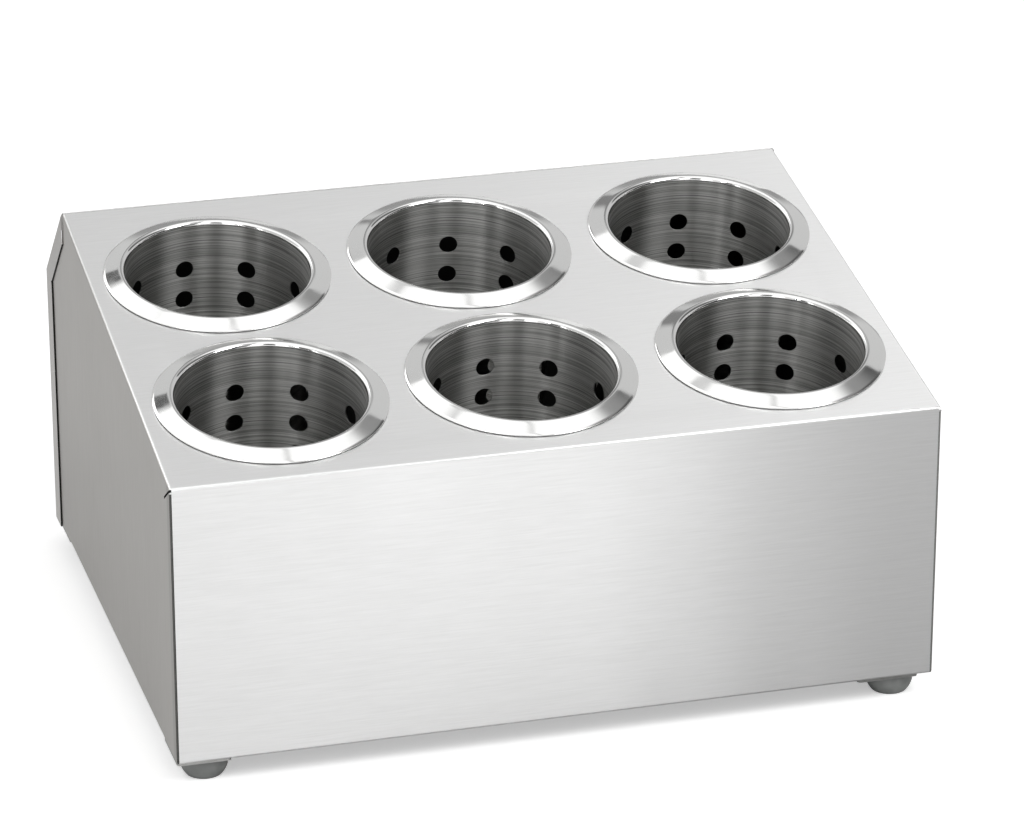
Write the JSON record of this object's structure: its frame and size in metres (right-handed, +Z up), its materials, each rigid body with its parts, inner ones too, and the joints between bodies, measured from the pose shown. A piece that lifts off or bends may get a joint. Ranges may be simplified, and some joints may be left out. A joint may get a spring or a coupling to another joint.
{
  "type": "cutlery dispenser",
  "caption": "Countertop cutlery dispenser: low stainless housing with a sloping top, flanged perforated cups set in its round holes, and rubber feet.",
  "frame": {"origin": "middle of the footprint, at the level the feet stand on", "axes": "+X along the front from left to right, +Y from the low front to the high rear, +Z up"},
  "size_m": [0.4032, 0.327, 0.2125],
  "materials": {
    "housing_steel": "horizontally brushed stainless sheet",
    "cover_steel": "brushed stainless sheet",
    "cup_steel": "stainless: polished flange, turned wall",
    "plate_steel": "plain stainless",
    "foot_rubber": "matt grey rubber",
    "fastener_steel": "plain stainless fasteners"
  },
  "bodies": {
    "shell": {"housing": "housing_steel", "rear_cover": "cover_steel", "foot_plate_front_left": "plate_steel", "foot_plate_front_right": "plate_steel", "foot_plate_rear_left": "plate_steel", "foot_plate_rear_right": "plate_steel", "foot_front_left": "foot_rubber", "foot_front_right": "foot_rubber", "foot_rear_left": "foot_rubber", "foot_rear_right": "foot_rubber", "foot_washer_front_left": "fastener_steel", "foot_washer_front_right": "fastener_steel", "foot_washer_rear_left": "fastener_steel", "foot_washer_rear_right": "fastener_steel", "foot_screw_front_left": "fastener_steel", "foot_screw_front_right": "fastener_steel", "foot_screw_rear_left": "fastener_steel", "foot_screw_rear_right": "fastener_steel", "foot_nut_front_left": "fastener_steel", "foot_nut_front_right": "fastener_steel", "foot_nut_rear_left": "fastener_steel", "foot_nut_rear_right": "fastener_steel"},
    "front_left_cup": {"cup_front_left": "cup_steel"},
    "front_middle_cup": {"cup_front_middle": "cup_steel"},
    "front_right_cup": {"cup_front_right": "cup_steel"},
    "rear_left_cup": {"cup_rear_left": "cup_steel"},
    "rear_middle_cup": {"cup_rear_middle": "cup_steel"},
    "rear_right_cup": {"cup_rear_right": "cup_steel"}
  },
  "joints": [
    {"name": "lift_front_left", "type": "slide", "parent": "shell", "child": "front_left_cup", "axis": [0, -0.1773, 0.9842], "range_m": [0, 0.15]},
    {"name": "lift_front_middle", "type": "slide", "parent": "shell", "child": "front_middle_cup", "axis": [0, -0.1773, 0.9842], "range_m": [0, 0.15]},
    {"name": "lift_front_right", "type": "slide", "parent": "shell", "child": "front_right_cup", "axis": [0, -0.1773, 0.9842], "range_m": [0, 0.15]},
    {"name": "lift_rear_left", "type": "slide", "parent": "shell", "child": "rear_left_cup", "axis": [0, -0.1773, 0.9842], "range_m": [0, 0.15]},
    {"name": "lift_rear_middle", "type": "slide", "parent": "shell", "child": "rear_middle_cup", "axis": [0, -0.1773, 0.9842], "range_m": [0, 0.15]},
    {"name": "lift_rear_right", "type": "slide", "parent": "shell", "child": "rear_right_cup", "axis": [0, -0.1773, 0.9842], "range_m": [0, 0.15]}
  ]
}
